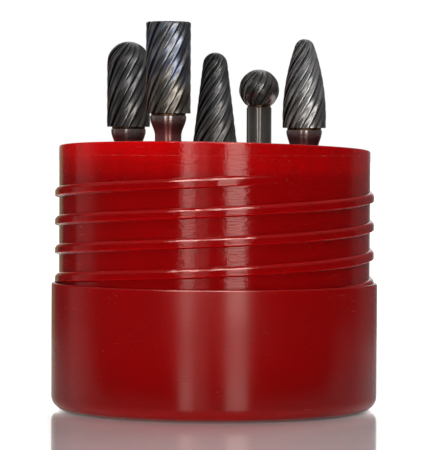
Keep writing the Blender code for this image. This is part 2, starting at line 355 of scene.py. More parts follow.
def below_neck():
    """Half section from the foot of the neck down to the middle of the foot."""
    foot_radius = SKIRT_RADIUS - FOOT_ROUND_RADIUS
    recess_radius = foot_radius - FOOT_RING_WIDTH
    edge = [(SKIRT_RADIUS - inset * MM, SHOULDER_HEIGHT - drop * MM) for inset, drop in SHOULDER_EDGE]
    return [
        *edge,
        *[(SKIRT_RADIUS, height) for height in SKIRT_ROWS],
        *arc((foot_radius, FOOT_ROUND_RADIUS), FOOT_ROUND_RADIUS, 0.0, -QUARTER, FOOT_STEPS),
        (recess_radius + CORNER_ROUND, 0.0),
        (recess_radius, CORNER_ROUND),
        (recess_radius, FOOT_RECESS_DEPTH),
        (0.0, FOOT_RECESS_DEPTH),
    ]


def above_neck():
    """Half section from the outside of the rim over it and down the bore."""
    outer = (NECK_RADIUS - RIM_ROUND, RIM_HEIGHT - RIM_ROUND)
    inner = (BORE_RADIUS + RIM_ROUND, RIM_HEIGHT - RIM_ROUND)
    return [
        *arc(outer, RIM_ROUND, 0.0, QUARTER, RIM_STEPS),
        *arc(inner, RIM_ROUND, QUARTER, math.pi, RIM_STEPS),
        (BORE_RADIUS, LEVEL_ROW),
        (BORE_RADIUS, BELOW_DECK_ROW),
        (BORE_RADIUS, FLOOR_THICKNESS),
        (0.0, FLOOR_THICKNESS),
    ]


def build_case(finish):
    """Threaded cup in place of the faceted one."""
    mesh = bmesh.new()
    threaded_neck(mesh)
    azimuths = [step * TURN / CASE_COLUMNS for step in range(CASE_COLUMNS)]
    neck_foot = []
    for azimuth in azimuths:
        radius = NECK_RADIUS + ridge_form(azimuth, SHOULDER_HEIGHT)[0]
        neck_foot.append(mesh.verts.new(polar(radius, azimuth, SHOULDER_HEIGHT)))
    lower_rings = [neck_foot]
    for radius, height in below_neck():
        around = azimuths if radius > 0 else [0.0]
        lower_rings.append([mesh.verts.new(polar(radius, azimuth, height)) for azimuth in around])
    upper_rings = []
    for radius, height in above_neck():
        ring = []
        for azimuth in azimuths if radius > 0 else [0.0]:
            shift = rim_shift(azimuth, radius) if height > LEVEL_ROW else 0.0
            ring.append(mesh.verts.new(polar(radius, azimuth, height + shift)))
        upper_rings.append(ring)
    for rings in (lower_rings, upper_rings):
        for first, second in zip(rings, rings[1:]):
            bridge(mesh, first, second)
    bmesh.ops.remove_doubles(mesh, verts=mesh.verts, dist=MERGE_DISTANCE)
    bmesh.ops.recalc_face_normals(mesh, faces=mesh.faces)
    add_piece("case_shell", mesh, finish, "case", "case_base", CASE_SHARP)


# Burrs

def row_count(length):
    """How many rows a curved stretch of a head gets."""
    return math.ceil(length / ROW_STEP)


def cylinder_outline():
    """Plain cylinder with a broken top edge."""
    inset = CYLINDER_RADIUS - CYLINDER_CHAMFER
    side = rows((CYLINDER_RADIUS, 0.0), (CYLINDER_RADIUS, CYLINDER_LENGTH - CYLINDER_CHAMFER))
    end = rows((inset, CYLINDER_LENGTH), (FLAT_END_RADIUS, CYLINDER_LENGTH))
    return [*side, *end, (0.0, CYLINDER_LENGTH)]


def ball_nose_outline():
    """Cylinder that ends in a half ball."""
    radius = BALL_NOSE_RADIUS
    equator = BALL_NOSE_LENGTH - radius
    dome = arc((0.0, equator), radius, 0.0, QUARTER, row_count(QUARTER * radius))
    return [*rows((radius, 0.0), (radius, equator)), *dome[1:-1], (0.0, BALL_NOSE_LENGTH)]


def taper_outline():
    """Cone that widens downwards from a tip ball, tangent to it."""
    radius = TAPER_TIP_RADIUS
    equator = TAPER_LENGTH - radius
    dome = arc((0.0, equator), radius, TAPER_HALF_ANGLE, QUARTER, row_count(TIP_ARC * radius))
    tangent_radius, tangent_height = dome[0]
    base = (tangent_radius + tangent_height * math.tan(TAPER_HALF_ANGLE), 0.0)
    return [*rows(base, dome[0]), *dome[1:-1], (0.0, TAPER_LENGTH)]


def ball_outline():
    """Ball cut off flat where it is brazed to the shank."""
    start = -math.acos(SHANK_RADIUS / BALL_RADIUS)
    centre = (0.0, BALL_LENGTH - BALL_RADIUS)
    side = arc(centre, BALL_RADIUS, start, QUARTER, row_count(BALL_ARC * BALL_RADIUS))
    return [*side[:-1], (0.0, BALL_LENGTH)]


def tree_outline():
    """Ogive, widest at its waist, that runs tangent into a tip ball."""
    tip = TREE_TIP_RADIUS
    reach = TREE_LENGTH - TREE_WAIST_HEIGHT
    sweep = (TREE_RADIUS**2 + reach**2 - 2 * tip * reach) / (2 * (TREE_RADIUS - tip))
    centre = (TREE_RADIUS - sweep, TREE_WAIST_HEIGHT)
    foot = -math.asin(TREE_WAIST_HEIGHT / sweep)
    tangent = math.atan2(reach - tip, sweep - TREE_RADIUS)
    side = arc(centre, sweep, foot, tangent, row_count(TREE_LENGTH))
    dome = arc((0.0, TREE_LENGTH - tip), tip, tangent, QUARTER, row_count(TIP_ARC * tip))
    return [*side, *dome[1:-1], (0.0, TREE_LENGTH)]


def burr_place(burr, node):
    """Foot of a burr's node, on the axis of its shank."""
    low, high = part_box(burr.name + "_shank")
    return ((low.x + high.x) / 2, (low.y + high.y) / 2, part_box(node)[0].z)


def build_head(burr):
    """Fluted carbide head whose points know their place across the flutes."""
    mesh = bmesh.new()
    sweep = mesh.verts.layers.float.new("sweep")
    rings = [[mesh.verts.new((0.0, 0.0, 0.0))]]
    slope = math.tan(math.radians(burr.helix))
    twist = math.radians(burr.gullet)
    below = 0.0
    for radius, height in burr.outline:
        twist += slope * (height - below) / max(radius, TWIST_RADIUS)
        below = height
        if radius <= 0:
            rings.append([mesh.verts.new((0.0, 0.0, height))])
            continue
        depth = min(burr.depth, FLUTE_DEPTH_LIMIT * radius)
        ring = []
        for flute in range(burr.flutes):
            for share, drop in TOOTH_FORM:
                azimuth = twist + (flute + share) * TURN / burr.flutes
                gullet = flute if share < WALL_START else flute + 1
                cut = depth * drop * GULLET_SHARES[gullet % 2]
                vert = mesh.verts.new(polar(radius - cut, azimuth, height))
                vert[sweep] = flute + share
                ring.append(vert)
        rings.append(ring)
    for lower, upper in zip(rings, rings[1:]):
        bridge(mesh, lower, upper)
    node = burr.name + "_head"
    place = burr_place(burr, node)
    add_piece(burr.name + "_flutes", mesh, burr.carbide, burr.name, node, HEAD_SHARP, place)


def build_shank(burr, finish):
    """Turned steel shank with eased edges, and the collar where the burr has one."""
    top = SHANK_LENGTH - BRAZE_THICKNESS - 2 * BRAZE_GAP
    profile = [
        (0.0, 0.0),
        (SHANK_RADIUS - SHANK_CHAMFER, 0.0),
        (SHANK_RADIUS, SHANK_CHAMFER),
    ]
    radius = SHANK_RADIUS
    if burr.neck:
        radius = COLLAR_RADIUS
        begin, end = burr.neck
        for step in range(NECK_STEPS + 1):
            along = step / NECK_STEPS
            swell = 0.5 - 0.5 * math.cos(math.pi * along)
            wide = SHANK_RADIUS + swell * (COLLAR_RADIUS - SHANK_RADIUS)
            profile.append((wide, top - end + along * (end - begin)))
    corner = (radius - COLLAR_ROUND, top - COLLAR_ROUND)
    profile += [*arc(corner, COLLAR_ROUND, 0.0, QUARTER, COLLAR_STEPS), (0.0, top)]
    mesh = bmesh.new()
    lathe(mesh, profile, TURNED_COLUMNS)
    node = burr.name + "_shank"
    place = burr_place(burr, node)
    add_piece(burr.name + "_stem", mesh, finish, burr.name, node, SHANK_SHARP, place)


def build_braze(burr, finish):
    """Ring of filler metal with a rounded, slightly uneven edge."""
    radius = (COLLAR_RADIUS if burr.neck else SHANK_RADIUS) - BRAZE_INSET
    bulge = BRAZE_THICKNESS / 2 + BRAZE_GAP
    profile = [
        (0.0, -BRAZE_GAP),
        *arc((radius - bulge, BRAZE_THICKNESS / 2), bulge, -QUARTER, QUARTER, BRAZE_STEPS),
        (0.0, BRAZE_THICKNESS + BRAZE_GAP),
    ]
    mesh = bmesh.new()
    lathe(mesh, profile, TURNED_COLUMNS)
    for vert in mesh.verts:
        azimuth = math.atan2(vert.co.x, -vert.co.y)
        waver = 1.0
        for share, number, phase in BRAZE_WAVES:
            waver += share * math.sin(number * azimuth + phase)
        vert.co.x *= waver
        vert.co.y *= waver
    node = burr.name + "_braze"
    place = burr_place(burr, node)
    add_piece(burr.name + "_filler", mesh, finish, burr.name, node, BRAZE_SHARP, place)


# Colours of the case, and the height of the hairline under its rim
# The lower red, used towards the foot, is painted shade
LOWER_RED = (0.168, 0.0004, 0.0008)
UPPER_RED = (0.2, 0.0006, 0.001)
CLOUDED_RED = (0.08, 0.0, 0.0)
SCRATCHED_RED = (0.6, 0.16, 0.13)
HAIRLINE_HEIGHT = 59.1 * MM

# Tones across two flutes of a head, from one deep gullet to the next: painted shade in the gullets and on
# their walls, and painted glints on the edges
FLUTE_SHADE_AND_GLINTS = (
    (0.0, (0.03, 0.028, 0.027)),
    (0.065, (0.03, 0.028, 0.026)),
    (0.12, (0.2, 0.191, 0.184)),
    (0.2, (0.36, 0.347, 0.338)),
    (0.4, (0.34, 0.327, 0.318)),
    (0.44, (0.42, 0.405, 0.39)),
    (0.462, (0.42, 0.405, 0.39)),
    (0.478, (0.1, 0.095, 0.092)),
    (0.55, (0.09, 0.086, 0.083)),
    (0.62, (0.22, 0.21, 0.203)),
    (0.72, (0.29, 0.278, 0.269)),
    (0.9, (0.29, 0.278, 0.269)),
    (0.94, (0.4, 0.386, 0.372)),
    (0.963, (0.4, 0.386, 0.372)),
    (0.978, (0.04, 0.038, 0.036)),
    (1.0, (0.03, 0.028, 0.027)),
)
FLAT_END_TONE = (0.17, 0.163, 0.157)

# Tints that brazing heat leaves on a head, from its foot to its end
OXIDE_TINTS = (
    (0.0, (0.95, 0.84, 0.72)),
    (0.2, (1.5, 1.34, 1.08)),
    (0.34, (1.25, 1.16, 1.05)),
    (0.46, (1.75, 1.78, 1.85)),
    (0.6, (1.05, 1.25, 1.85)),
    (0.74, (1.25, 1.45, 2.0)),
    (0.86, (1.95, 1.93, 1.85)),
    (1.0, (1.15, 1.27, 1.45)),
)

# Tones of a shank from its end to its top: below a collar, heat tint and a painted reflection of the red
# case on the neck; or plain, darker towards the top
HEAT_TINT_AND_RED_REFLECTION = (
    (0.0, (0.42, 0.41, 0.4)),
    (0.74, (0.42, 0.38, 0.37)),
    (0.82, (0.46, 0.3, 0.29)),
    (0.88, (0.44, 0.19, 0.18)),
    (0.92, (0.27, 0.08, 0.08)),
    (0.945, (0.2, 0.08, 0.08)),
    (0.975, (0.4, 0.32, 0.3)),
    (1.0, (0.56, 0.5, 0.44)),
)
PLAIN_STEEL = (
    (0.0, (0.42, 0.4, 0.38)),
    (0.6, (0.42, 0.39, 0.36)),
    (0.9, (0.38, 0.35, 0.32)),
    (1.0, (0.26, 0.22, 0.19)),
)


# Materials

def add_node(tree, kind, values=None, **settings):
    """Node with its settings, whose inputs get constants or other nodes' outputs."""
    node = tree.nodes.new(kind)
    for name, setting in settings.items():
        setattr(node, name, setting)
    for name, value in (values or {}).items():
        if isinstance(value, bpy.types.NodeSocket):
            tree.links.new(value, node.inputs[name])
        else:
            node.inputs[name].default_value = value
    return node


def calc(tree, operation, first, second=0.0):
    """Output of a math node."""
    return add_node(tree, "ShaderNodeMath", {0: first, 1: second}, operation=operation).outputs[0]


def times(tree, first, *others):
    """Product of numbers or outputs."""
    for other in others:
        first = calc(tree, "MULTIPLY", first, other)
    return first


def plus(tree, first, *others):
    """Sum of numbers or outputs."""
    for other in others:
        first = calc(tree, "ADD", first, other)
    return first


def largest(tree, first, *others):
    """Largest of numbers or outputs."""
    for other in others:
        first = calc(tree, "MAXIMUM", first, other)
    return first


def span(tree, value, low, high, to_low=0.0, to_high=1.0):
    """Value mapped from one range to another and held at its ends."""
    values = {"Value": value, "From Min": low, "From Max": high, "To Min": to_low, "To Max": to_high}
    return add_node(tree, "ShaderNodeMapRange", values, interpolation_type="SMOOTHSTEP").outputs[0]


def blend_colours(tree, share, first, second, mode="MIX"):
    """Output of a colour mix."""
    node = add_node(tree, "ShaderNodeMix", data_type="RGBA", blend_type=mode)
    for socket, value in ((node.inputs[0], share), (node.inputs[6], first), (node.inputs[7], second)):
        if isinstance(value, bpy.types.NodeSocket):
            tree.links.new(value, socket)
        elif isinstance(value, tuple):
            socket.default_value = (*value, 1.0)
        else:
            socket.default_value = value
    return node.outputs[2]


def blend_values(tree, share, first, second):
    """Output of a mix of two numbers."""
    return add_node(tree, "ShaderNodeMix", {0: share, 2: first, 3: second}, data_type="FLOAT").outputs[0]


def ramp(tree, value, stops):
    """Output of a colour ramp with (position, colour) stops."""
    node = add_node(tree, "ShaderNodeValToRGB", {"Fac": value})
    elements = node.color_ramp.elements
    while len(elements) < len(stops):
        elements.new(0.5)
    for element, (position, colour) in zip(elements, stops):
        element.position = position
        element.color = (*colour, 1.0)
    return node.outputs["Color"]


def noise(tree, point, scale, detail=2.0, roughness=0.5):
    """Noise value around 0.5."""
    values = {"Vector": point, "Scale": scale, "Detail": detail, "Roughness": roughness}
    return add_node(tree, "ShaderNodeTexNoise", values).outputs[0]


def vector(tree, x, y, z):
    """Vector from three numbers or outputs."""
    return add_node(tree, "ShaderNodeCombineXYZ", {"X": x, "Y": y, "Z": z}).outputs[0]


def stretched(tree, across, across_scale, seed, along, along_scale, detail, roughness=0.5):
    """Noise with a scale of its own in each of two directions."""
    point = vector(tree, times(tree, across, across_scale), seed, times(tree, along, along_scale))
    return noise(tree, point, 1.0, detail, roughness)


def scaled(tree, colour, factor):
    """Colour times a number."""
    return blend_colours(tree, 1.0, colour, vector(tree, factor, factor, factor), "MULTIPLY")


def bump(tree, height, strength, distance):
    """Normal of a surface with a fine relief."""
    values = {"Height": height, "Strength": strength, "Distance": distance}
    return add_node(tree, "ShaderNodeBump", values).outputs[0]


def new_finish(name):
    """Material with its node tree, its shader and the piece's own coordinates."""
    finish = bpy.data.materials.new(name)
    finish.use_nodes = True
    tree = finish.node_tree
    shader = tree.nodes["Principled BSDF"]
    place = add_node(tree, "ShaderNodeTexCoord").outputs["Object"]
    return finish, tree, shader, place


def feed(tree, shader, **values):
    """Links or sets the shader's inputs, named with underscores for spaces."""
    for name, value in values.items():
        socket = shader.inputs[name.replace("_", " ")]
        if isinstance(value, bpy.types.NodeSocket):
            tree.links.new(value, socket)
        else:
            socket.default_value = value


def azimuth_of(tree, axes):
    """Azimuth of a point or direction, from the front towards the right."""
    return calc(tree, "ARCTAN2", axes["X"], times(tree, axes["Y"], -1.0))


def dashes(tree, along, across, run, thickness, seed):
    """Sparse thin dashes: the peaks of a noise stretched along one direction."""
    patch = noise(tree, vector(tree, along, seed + 3.0, across), 90.0)
    peaks = span(tree, stretched(tree, along, 1 / run, seed, across, 1 / thickness, 0.0), 0.76, 0.84)
    return times(tree, peaks, span(tree, patch, 0.5, 0.62))


def painted_case_light(tree, height, azimuth, around):
    """How much brighter or darker the plastic is painted: a painted glow where light would come through its
    top, painted light on the left of the rim and at the foot, painted highlights on the edges of the thread
    and painted shade under it.
    """
    streaks = stretched(tree, around, 1 / (2.5 * MM), 0.0, height, 1 / (40.0 * MM), 2.0)
    # Painted glow above the deck, as if light shone through the thin wall
    painted_glow_band = times(tree, span(tree, height, 53.5 * MM, 56.5 * MM), span(tree, streaks, 0.3, 0.7, 0.3, 0.46))
    # Painted light towards the left of the rim's top
    edge = times(tree, span(tree, height, 56.0 * MM, 61.0 * MM), span(tree, azimuth, -0.9, 0.4, 0.8, 0.04))
    # Painted light at the foot
    foot = span(tree, height, 0.3 * MM, 3.4 * MM, 0.6, 0.0)
    # Painted highlights on the edges of the thread and painted shade under its roots
    ridge_light_and_shade = add_node(tree, "ShaderNodeAttribute", attribute_name="ridge_light_and_shade").outputs["Fac"]
    painted_light_and_shade = times(tree, ridge_light_and_shade, 0.345)
    painted_ridge_factor = plus(tree, painted_light_and_shade, times(tree, calc(tree, "ABSOLUTE", ridge_light_and_shade), 0.165))
    return plus(tree, painted_ridge_factor, 1.0, foot, painted_glow_band, edge)


def case_marks(tree, flat, height, around):
    """Hairs, scuffs, nicks and specks, and a broken hairline under the rim."""
    slant = plus(tree, around, height)
    counter = calc(tree, "SUBTRACT", around, height)
    hairs = dashes(tree, around, height, 5.0 * MM, 0.1 * MM, 0.0)
    scuffs = dashes(tree, slant, counter, 2.2 * MM, 0.12 * MM, 7.0)
    nicks = dashes(tree, counter, slant, 1.4 * MM, 0.14 * MM, 11.0)
    specks = span(tree, noise(tree, flat, 1800.0, 0.0), 0.82, 0.9)
    off_line = calc(tree, "ABSOLUTE", calc(tree, "SUBTRACT", height, HAIRLINE_HEIGHT))
    broken = noise(tree, vector(tree, times(tree, around, 1 / (3.0 * MM)), 5.0, 0.0), 1.0, 3.0)
    hairline = times(tree, span(tree, off_line, 0.04 * MM, 0.12 * MM, 1.0, 0.0),
                     span(tree, broken, 0.45, 0.65, 0.25, 1.0))
    return largest(tree, hairs, scuffs, nicks, specks, hairline)


def case_finish():
    """Glossy red plastic, turned on the neck, with a painted glow where its empty top lets light through,
    and painted light and shade on its thread and near its foot.
    """
    finish, tree, shader, place = new_finish("red_case_plastic")
    axes = add_node(tree, "ShaderNodeSeparateXYZ", {"Vector": place}).outputs
    height = axes["Z"]
    azimuth = azimuth_of(tree, axes)
    around = times(tree, azimuth, SKIRT_RADIUS)
    flat = vector(tree, around, 0.0, height)
    on_neck = span(tree, height, SHOULDER_HEIGHT - 0.3 * MM, SHOULDER_HEIGHT + 0.3 * MM)

    # Painted shade: the red gets darker towards the foot
    plain = blend_colours(tree, span(tree, height, 2.0 * MM, 16.0 * MM), LOWER_RED, UPPER_RED)
    # Painted glow, light and shade on the plastic
    glow = scaled(tree, plain, painted_case_light(tree, height, azimuth, around))
    cloud = noise(tree, flat, 60.0, 4.0, 0.55)
    mottled_with_painted_light = blend_colours(tree, span(tree, cloud, 0.35, 0.75, 0.0, 0.14), glow, CLOUDED_RED)
    marks = case_marks(tree, flat, height, around)
    worn_with_painted_light = blend_colours(tree, times(tree, marks, 0.1), mottled_with_painted_light, SCRATCHED_RED)

    lines = stretched(tree, around, 1 / (3.0 * MM), 0.0, height, 1 / (0.45 * MM), 1.0)
    cut = times(tree, lines, span(tree, on_neck, 0.0, 1.0, 0.05, 0.6))
    grain = times(tree, noise(tree, flat, 1500.0), span(tree, on_neck, 0.0, 1.0, 0.02, 0.22))
    relief = calc(tree, "SUBTRACT", plus(tree, cut, grain), times(tree, marks, 0.2))

    skirt_polish = span(tree, height, 4.0 * MM, 26.0 * MM, 0.15, 0.2)
    polish = blend_values(tree, on_neck, skirt_polish, 0.08)
    rough = plus(tree, polish, times(tree, marks, 0.2), span(tree, cloud, 0.3, 0.7, 0.0, 0.04))
    feed(tree, shader, Base_Color=worn_with_painted_light, Roughness=rough, Normal=bump(tree, relief, 1.0, 0.09 * MM),
         Specular_Tint=(1.0, 0.72, 0.65, 1.0), Subsurface_Weight=0.6, Subsurface_Scale=2.5 * MM,
         Subsurface_Radius=(1.0, 0.06, 0.05))
    return finish


def holder_finish():
    """Satin black plastic with the faint flow marks of a moulding."""
    finish, tree, shader, place = new_finish("black_holder_plastic")
    flow = noise(tree, place, 55.0, 4.0, 0.6)
    colour = blend_colours(tree, span(tree, flow, 0.3, 0.7), (0.012, 0.012, 0.013), (0.024, 0.024, 0.025))
    grain = bump(tree, noise(tree, place, 2200.0), 0.12, 0.1 * MM)
    feed(tree, shader, Base_Color=colour, Roughness=span(tree, flow, 0.3, 0.7, 0.38, 0.5), Normal=grain)
    return finish


def carbide_finish(name, tint, contrast, level, shaded_dome_level, roughness, seed):
    """Dark ground carbide: grinding streaks along the flutes, painted shade in the gullets and on faces
    that look up, painted glints on the edges, and heat tints.
    """
    finish, tree, shader, place = new_finish(name)
    sweep = add_node(tree, "ShaderNodeAttribute", attribute_name="sweep").outputs["Fac"]
    height = add_node(tree, "ShaderNodeSeparateXYZ", {"Vector": place}).outputs["Z"]
    normal = add_node(tree, "ShaderNodeNewGeometry").outputs["Normal"]
    upward = add_node(tree, "ShaderNodeSeparateXYZ", {"Vector": normal}).outputs["Z"]

    # Painted shade in the gullets and painted glints on the edges
    painted_flute_light = ramp(tree, calc(tree, "FRACT", times(tree, sweep, 0.5)), FLUTE_SHADE_AND_GLINTS)
    painted_flute_light = blend_colours(tree, span(tree, upward, 0.97, 0.99, contrast, 0.0), FLAT_END_TONE, painted_flute_light)
    streak = stretched(tree, sweep, 26.0, seed, height, 90.0, 3.0, 0.6)
    patch = stretched(tree, sweep, 1.1, seed + 5.0, height, 170.0, 3.0)
    # Painted shade on faces that look up, such as the domes
    shade = times(tree, span(tree, streak, 0.28, 0.72, 0.78, 1.16), span(tree, patch, 0.3, 0.7, 0.6, 1.25),
                  span(tree, upward, 0.2, 0.6, level, shaded_dome_level))
    ground = scaled(tree, painted_flute_light, shade)

    uneven = stretched(tree, sweep, 1.7, seed + 9.0, height, 180.0, 2.0)
    heat = plus(tree, times(tree, height, 1 / (22.0 * MM)), span(tree, uneven, 0.3, 0.7, -0.2, 0.34))
    lively = blend_colours(tree, 1.0, ground, ramp(tree, heat, OXIDE_TINTS), "MULTIPLY")
    tinted = blend_colours(tree, tint, ground, lively)

    rough = span(tree, streak, 0.25, 0.75, roughness, roughness + 0.1)
    feed(tree, shader, Base_Color=tinted, Roughness=rough, Normal=bump(tree, streak, 0.06, 0.1 * MM),
         Metallic=0.95)
    return finish


def steel_finish(name, tones, neck_roughness, top_roughness, seed):
    """Turned steel, whose fine lines draw highlights out along the shank, in tones that change along it."""
    finish, tree, shader, place = new_finish(name)
    axes = add_node(tree, "ShaderNodeSeparateXYZ", {"Vector": place}).outputs
    height = axes["Z"]
    azimuth = azimuth_of(tree, axes)
    along = times(tree, height, 1 / SHANK_LENGTH)
    uneven = stretched(tree, azimuth, 0.8, seed, height, 300.0, 3.0)
    colour = ramp(tree, plus(tree, along, span(tree, uneven, 0.2, 0.8, -0.012, 0.012)), tones)
    lines = stretched(tree, azimuth, 1.5, 2.0, height, 4000.0, 2.0, 0.6)
    fine = blend_colours(tree, span(tree, lines, 0.3, 0.75, 0.0, 0.04), colour, (0.05, 0.05, 0.05))
    rough = plus(tree, span(tree, along, 0.955, 0.962, neck_roughness, top_roughness),
                 span(tree, lines, 0.3, 0.7, 0.0, 0.05))
    turning = add_node(tree, "ShaderNodeTangent", direction_type="RADIAL", axis="Z").outputs[0]
    feed(tree, shader, Base_Color=fine, Roughness=rough, Normal=bump(tree, lines, 0.02, 0.05 * MM),
         Metallic=0.9, Tangent=turning, Anisotropic=0.95, Anisotropic_Rotation=0.25)
    return finish


def braze_finish():
    """Bronze-coloured filler with a pebbled, part oxidised skin."""
    finish, tree, shader, place = new_finish("braze_filler")
    skin = noise(tree, place, 1400.0, 4.0, 0.6)
    colour = blend_colours(tree, span(tree, skin, 0.35, 0.65), (0.16, 0.09, 0.05), (0.55, 0.36, 0.2))
    feed(tree, shader, Base_Color=colour, Roughness=span(tree, skin, 0.3, 0.7, 0.28, 0.5),
         Normal=bump(tree, skin, 0.4, 0.2 * MM), Metallic=1.0)
    return finish


# Camera
CAMERA_PLACE = (0.15 * MM, -672.0 * MM, 60.9 * MM)
CAMERA_DOWN = math.radians(1.543)
CAMERA_ROLL = math.radians(-0.25)
CAMERA_LENS = 230.4
CAMERA_RANGE = 50.0
SENSOR_WIDTH = 36.0

# Azimuths of the strip softboxes that the case mirrors, in degrees from its front
LEFT_STRIP = (-24.4, -15.5)
LEFT_SPILL = (-15.5, -4.8)
RIGHT_STRIP = (9.2, 23.6)
STRIP_DISTANCE = 400.0 * MM
CASE_STRIP_DISTANCE = 0.95 * STRIP_DISTANCE

# Lowest and highest points of the strips' lengths, in metres
FOOT_LENGTH = (-0.15, -0.018)
LOW_LENGTH = (-0.018, 0.01)
MAIN_LENGTH = (0.01, 0.42)
TOP_LENGTH = (0.42, 0.75)
WHOLE_LENGTH = (-0.15, 0.42)

# Strips: name, azimuths, lowest and highest points, radiance
STRIPS = (
    ("left_strip", LEFT_STRIP, MAIN_LENGTH, 1.9),
    ("left_strip_low", LEFT_STRIP, LOW_LENGTH, 0.8),
    ("left_strip_foot", LEFT_STRIP, FOOT_LENGTH, 2.1),
    ("left_spill", LEFT_SPILL, WHOLE_LENGTH, 0.4),
    ("right_strip", RIGHT_STRIP, MAIN_LENGTH, 2.25),
    ("right_strip_low", RIGHT_STRIP, LOW_LENGTH, 0.9),
    ("right_strip_foot", RIGHT_STRIP, FOOT_LENGTH, 2.2),
)

# Strips that only the case mirrors
CASE_STRIPS = (
    ("left_neck", LEFT_STRIP, MAIN_LENGTH, 0.7),
    ("right_neck", RIGHT_STRIP, MAIN_LENGTH, 1.5),
    ("left_top", (-45.0, -18.0), TOP_LENGTH, 13.0),
    ("middle_top", (-18.0, -2.0), TOP_LENGTH, 6.0),
    ("right_top", (-2.0, 33.0), TOP_LENGTH, 12.0),
)

# Square lamps that light the surfaces: name, place, target, size, radiance
BROAD_LAMPS = (
    ("front_key", (-0.25, -1.5, 0.25), (0.0, 0.0, 0.04), 1.0, 9.4),
    ("overhead", (0.0, 0.3, 1.4), (0.0, 0.1, 0.0), 1.6, 1.9),
    ("back_fill", (0.8, 0.96, 0.3), (0.0, 0.0, 0.04), 0.8, 6.0),
)
POWER_PER_RADIANCE = 4.0


def grey(level):
    """Neutral colour."""
    return (level, level, level)


# What surfaces mirror at the height of the object, all the way round from the back
STUDIO = (
    (0.0, grey(0.3)),
    (0.03, (0.32, 0.31, 0.2)),
    (0.07, (0.28, 0.27, 0.17)),
    (0.085, grey(0.04)),
    (0.155, grey(0.03)),
    (0.165, grey(0.26)),
    (0.21, grey(0.24)),
    (0.235, grey(0.06)),
    (0.27, grey(0.03)),
    (0.4, grey(0.015)),
    (0.75, grey(0.015)),
    (0.83, grey(0.03)),
    (0.845, grey(0.12)),
    (0.94, grey(0.12)),
    (0.955, grey(0.3)),
    (1.0, grey(0.3)),
)
STUDIO_TOP = grey(0.22)
SOFT_LIGHT = grey(0.06)
WHITE = grey(1.0)
FLOOR_WHITE = grey(0.93)
FLOOR_SHADOW_GREY = grey(0.68)
FLOOR_SIZE = 12.0


# Stage

def floor_paleness(tree, axes, away, aside, clear):
    """How much white the floor adds to what it mirrors, as the camera sees it: less on the painted shadow
    in front of the case and near the case, with painted light beside its foot.
    """
    near = times(tree, clear, span(tree, away, 33.0 * MM, 45.0 * MM, 0.15, 0.5))
    depth = calc(tree, "ABSOLUTE", axes["Y"])
    # Painted light beside the foot of the case
    corner = times(
        tree,
        span(tree, aside, 33.5 * MM, 37.0 * MM),
        span(tree, axes["Y"], -22.0 * MM, -6.0 * MM),
        span(tree, depth, 10.0 * MM, 20.0 * MM, 1.0, 0.4),
        span(tree, axes["X"], -10.0 * MM, 10.0 * MM, 0.9, 0.4),
    )
    return plus(tree, near, corner, span(tree, away, 0.15, 0.8, 0.0, 0.6))


def build_floor():
    """Polished white floor that mirrors the object as the photograph's does."""
    finish, tree, shader, place = new_finish("floor_white")
    axes = add_node(tree, "ShaderNodeSeparateXYZ", {"Vector": place}).outputs
    light = add_node(tree, "ShaderNodeLightPath").outputs
    away = add_node(tree, "ShaderNodeVectorMath", {0: place}, operation="LENGTH").outputs["Value"]

    # Painted shadow: a greyer patch in front of the case, narrower towards the front
    narrowing = plus(tree, times(tree, axes["Y"], 1.49), 1.0)
    aside = calc(tree, "DIVIDE", calc(tree, "ABSOLUTE", axes["X"]), largest(tree, narrowing, 0.5))
    clear = largest(tree, span(tree, aside, 36.5 * MM, 43.0 * MM), span(tree, axes["Y"], -30.0 * MM, 0.0),
                    span(tree, away, 0.1, 0.17))
    colour = blend_colours(tree, clear, FLOOR_SHADOW_GREY, FLOOR_WHITE)
    painted_light_and_shade = floor_paleness(tree, axes, away, aside, clear)
    wave = noise(tree, place, 9.0)
    feed(tree, shader, Base_Color=colour, IOR=1.45, Coat_Weight=0.5, Coat_Roughness=0.05,
         Roughness=span(tree, wave, 0.3, 0.7, 0.05, 0.08), Emission_Color=(*WHITE, 1.0),
         Emission_Strength=times(tree, painted_light_and_shade, light["Is Camera Ray"]))

    # Away from its foot the object mirrors the studio in place of the floor
    reach = span(tree, axes["Y"], -40.0 * MM, 0.0, 0.062, 0.24)
    unseen = span(tree, calc(tree, "SUBTRACT", away, reach), -5.0 * MM, 30.0 * MM, 0.3, 1.0)
    unseen = times(tree, unseen, light["Is Glossy Ray"])
    opening = add_node(tree, "ShaderNodeBsdfTransparent").outputs[0]
    mixed = add_node(tree, "ShaderNodeMixShader", {0: unseen, 1: shader.outputs[0], 2: opening})
    tree.links.new(mixed.outputs[0], tree.nodes["Material Output"].inputs["Surface"])

    mesh = bmesh.new()
    bmesh.ops.create_grid(mesh, x_segments=4, y_segments=4, size=FLOOR_SIZE)
    data = bpy.data.meshes.new("floor")
    mesh.to_mesh(data)
    mesh.free()
    data.materials.append(finish)
    floor = bpy.data.objects.new("floor", data)
    bpy.context.scene.collection.objects.link(floor)


